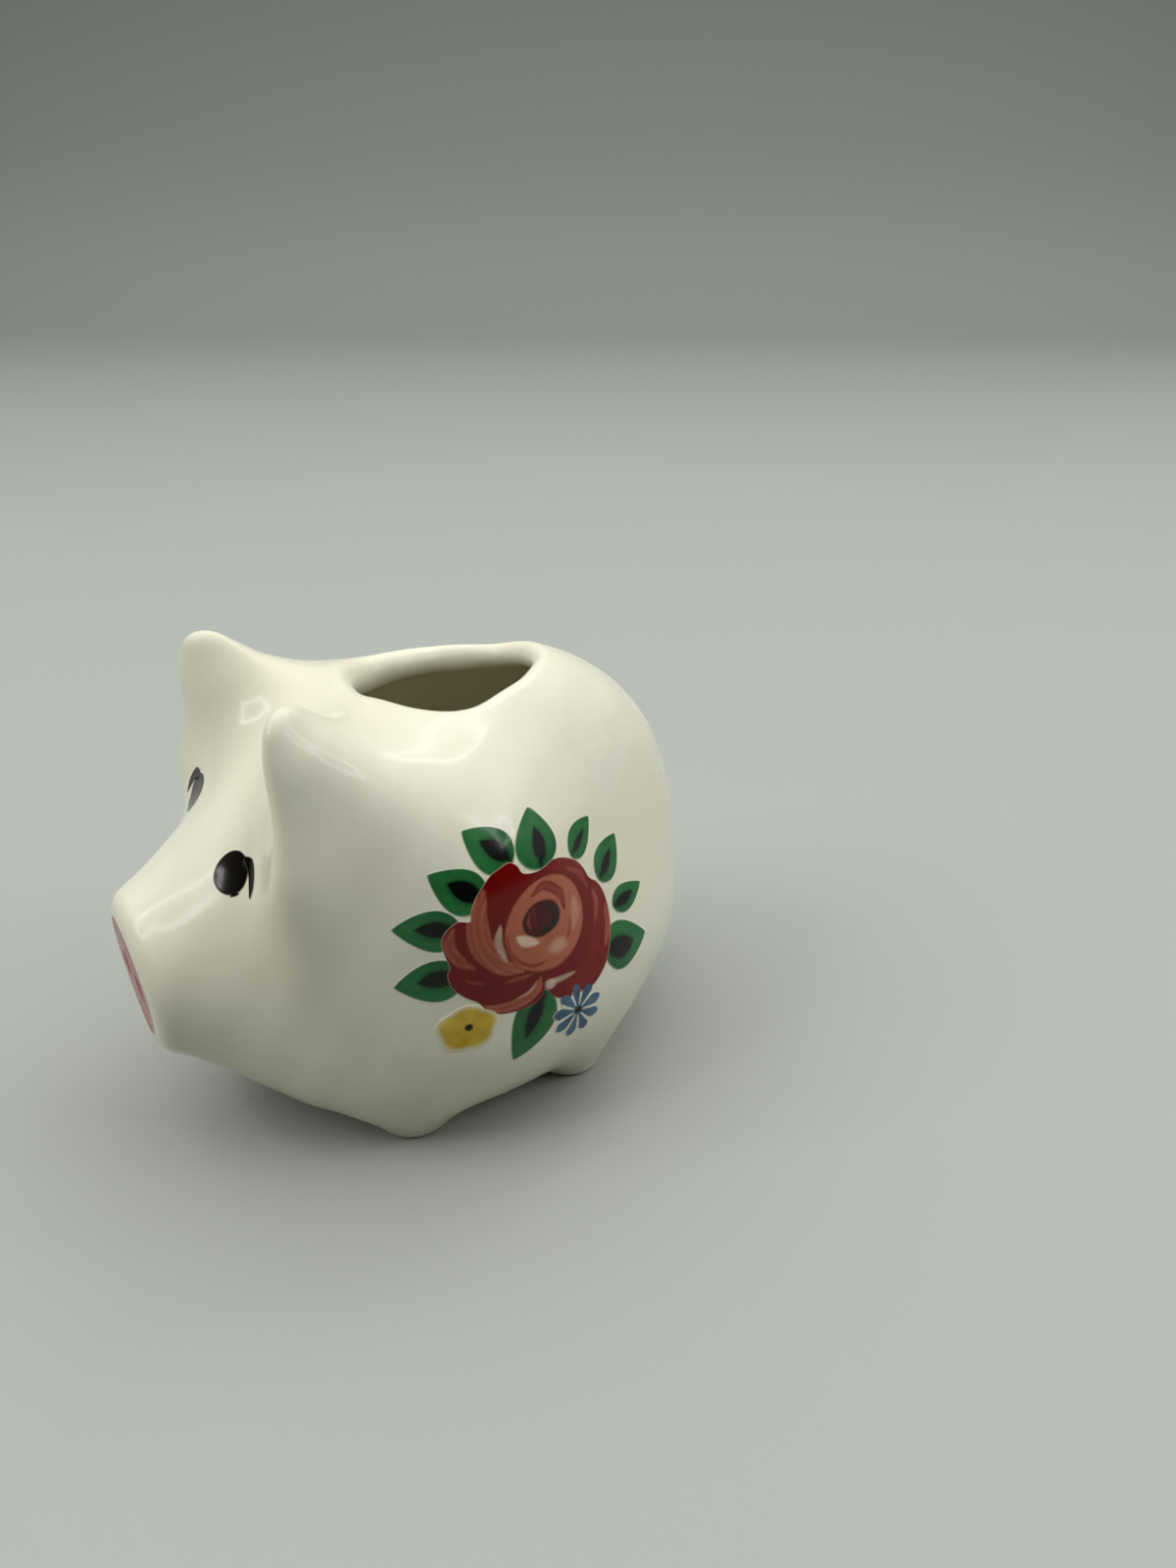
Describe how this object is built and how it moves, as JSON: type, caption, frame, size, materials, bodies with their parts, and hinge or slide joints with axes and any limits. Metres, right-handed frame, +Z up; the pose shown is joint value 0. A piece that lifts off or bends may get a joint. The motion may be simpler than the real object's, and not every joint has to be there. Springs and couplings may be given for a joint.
{
  "type": "miniature pig figurine",
  "caption": "Hollow glazed pottery pig with an open back, raised ears, a flat snout and a painted rose spray on each flank; stands on four short feet.",
  "frame": {"origin": "on the ground under the middle of the pig's length, in its plane of symmetry", "axes": "+Z up; the pig faces -Y; its left flank looks along +X"},
  "size_m": [0.0486, 0.0628, 0.0469],
  "materials": {
    "glaze": "clear glossy glaze over ivory white earthenware",
    "pink_enamel": "thin satin dusty pink enamel fired on the glaze",
    "black_enamel": "glossy black enamel fired on the glaze",
    "rose_enamel": "glossy dark red enamel with pink petal strokes",
    "green_enamel": "glossy green enamel with near-black centre strokes",
    "yellow_enamel": "glossy ochre yellow enamel with a dark centre",
    "blue_enamel": "glossy blue enamel with a dark centre"
  },
  "bodies": {
    "root": {"pig_casting": "glaze", "snout_enamel": "pink_enamel", "left_eye": "black_enamel", "left_rose": "rose_enamel", "left_yellow_flower": "yellow_enamel", "left_blue_flower": "blue_enamel", "left_leaf_1": "green_enamel", "left_leaf_2": "green_enamel", "left_leaf_3": "green_enamel", "left_leaf_4": "green_enamel", "left_leaf_5": "green_enamel", "left_leaf_6": "green_enamel", "left_leaf_7": "green_enamel", "left_leaf_8": "green_enamel", "left_leaf_9": "green_enamel", "left_leaf_10": "green_enamel", "right_eye": "black_enamel", "right_rose": "rose_enamel", "right_yellow_flower": "yellow_enamel", "right_blue_flower": "blue_enamel", "right_leaf_1": "green_enamel", "right_leaf_2": "green_enamel", "right_leaf_3": "green_enamel", "right_leaf_4": "green_enamel", "right_leaf_5": "green_enamel", "right_leaf_6": "green_enamel", "right_leaf_7": "green_enamel", "right_leaf_8": "green_enamel", "right_leaf_9": "green_enamel", "right_leaf_10": "green_enamel"}
  },
  "joints": []
}
